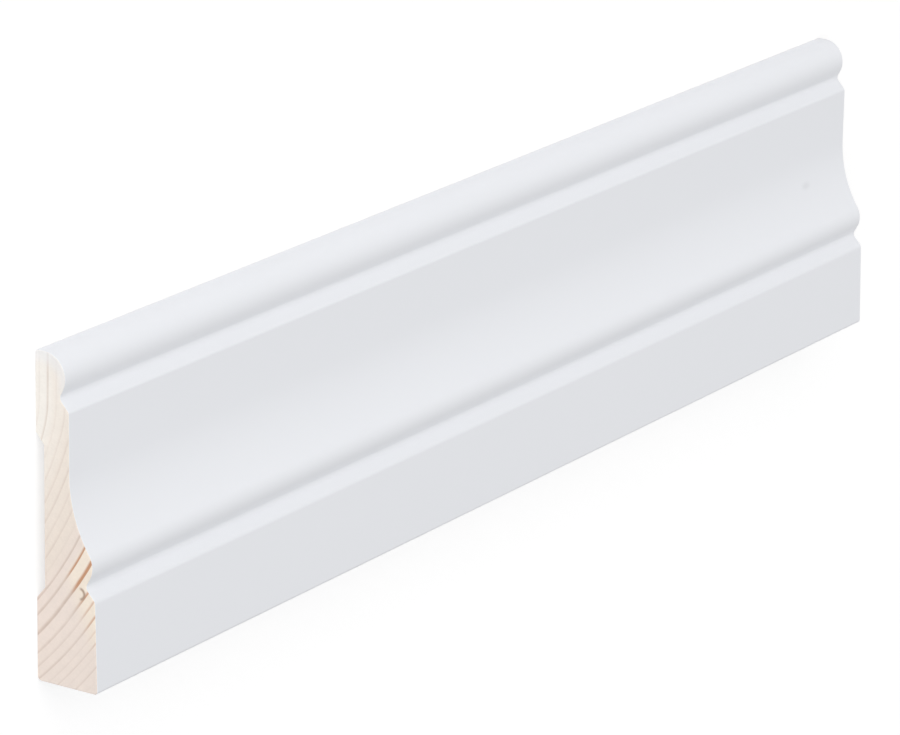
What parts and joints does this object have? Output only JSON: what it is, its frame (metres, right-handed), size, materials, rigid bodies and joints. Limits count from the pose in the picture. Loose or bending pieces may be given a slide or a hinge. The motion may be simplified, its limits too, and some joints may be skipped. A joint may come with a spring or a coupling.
{
  "type": "pine moulding",
  "caption": "Short length of painted pine casing moulding: flat band, quirked ogee, flat web and round nose on the face, relieved back, ends cut square.",
  "frame": {"origin": "centre of the footprint, on the plane of the two back feet", "axes": "+X along the length, +Y from the thick edge to the thin edge, +Z from the back out of the moulded face"},
  "size_m": [0.25, 0.056, 0.012],
  "materials": {
    "painted_pine": "satin white paint on the face and both edges, bare pine on the sawn ends and the back"
  },
  "bodies": {
    "root": {"moulding": "painted_pine"}
  },
  "joints": []
}
